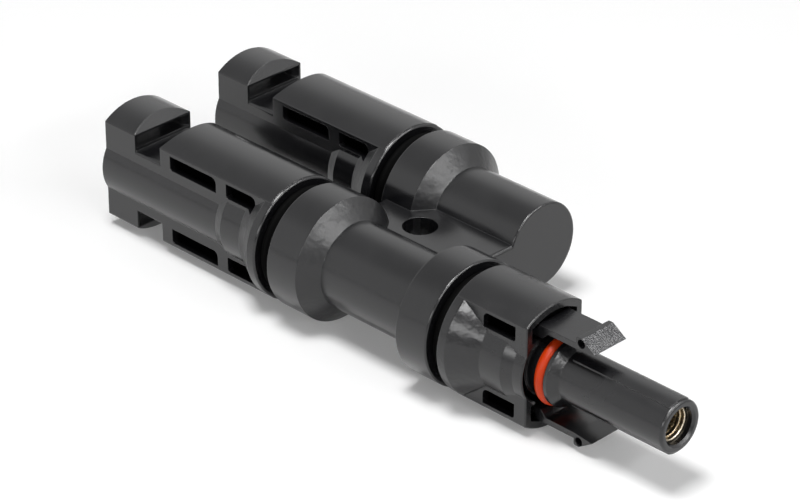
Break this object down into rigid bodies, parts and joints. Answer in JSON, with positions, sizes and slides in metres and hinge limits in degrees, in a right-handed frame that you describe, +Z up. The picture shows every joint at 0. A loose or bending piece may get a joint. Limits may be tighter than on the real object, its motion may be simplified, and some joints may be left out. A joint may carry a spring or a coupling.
{
  "type": "solar branch connector",
  "caption": "Y branch connector for solar cables: latching sockets side by side at the rear feed one latching plug, with a flat web and a fixing hole between the branches.",
  "frame": {"origin": "centre of the fixing hole in the web, half way through its thickness", "axes": "+X from the sockets to the plug tip, parallel to the branches; +Y from the near branch, which carries the plug, to the far branch; +Z up, along the fixing hole"},
  "size_m": [0.1082, 0.0416, 0.019],
  "materials": {
    "moulded_body": "satin moulded",
    "moulded_housing": "satin moulded",
    "copper": "plain copper",
    "tinned_contact": "tin plated",
    "gilt_contact": "bright plated",
    "spring_steel": "stamped",
    "black_rubber": "matt",
    "orange_silicone": "smooth"
  },
  "bodies": {
    "root": {"branch_body": "moulded_body", "bus_bar": "copper", "near_socket_housing": "moulded_housing", "far_socket_housing": "moulded_housing", "plug_housing": "moulded_housing", "near_pin_contact": "tinned_contact", "far_pin_contact": "tinned_contact", "plug_socket_contact": "gilt_contact", "louvre_band": "gilt_contact", "near_contact_clip": "spring_steel", "far_contact_clip": "spring_steel", "plug_contact_clip": "spring_steel", "near_neck_seal": "black_rubber", "far_neck_seal": "black_rubber", "plug_neck_seal": "black_rubber", "plug_o_ring": "orange_silicone"}
  },
  "joints": []
}
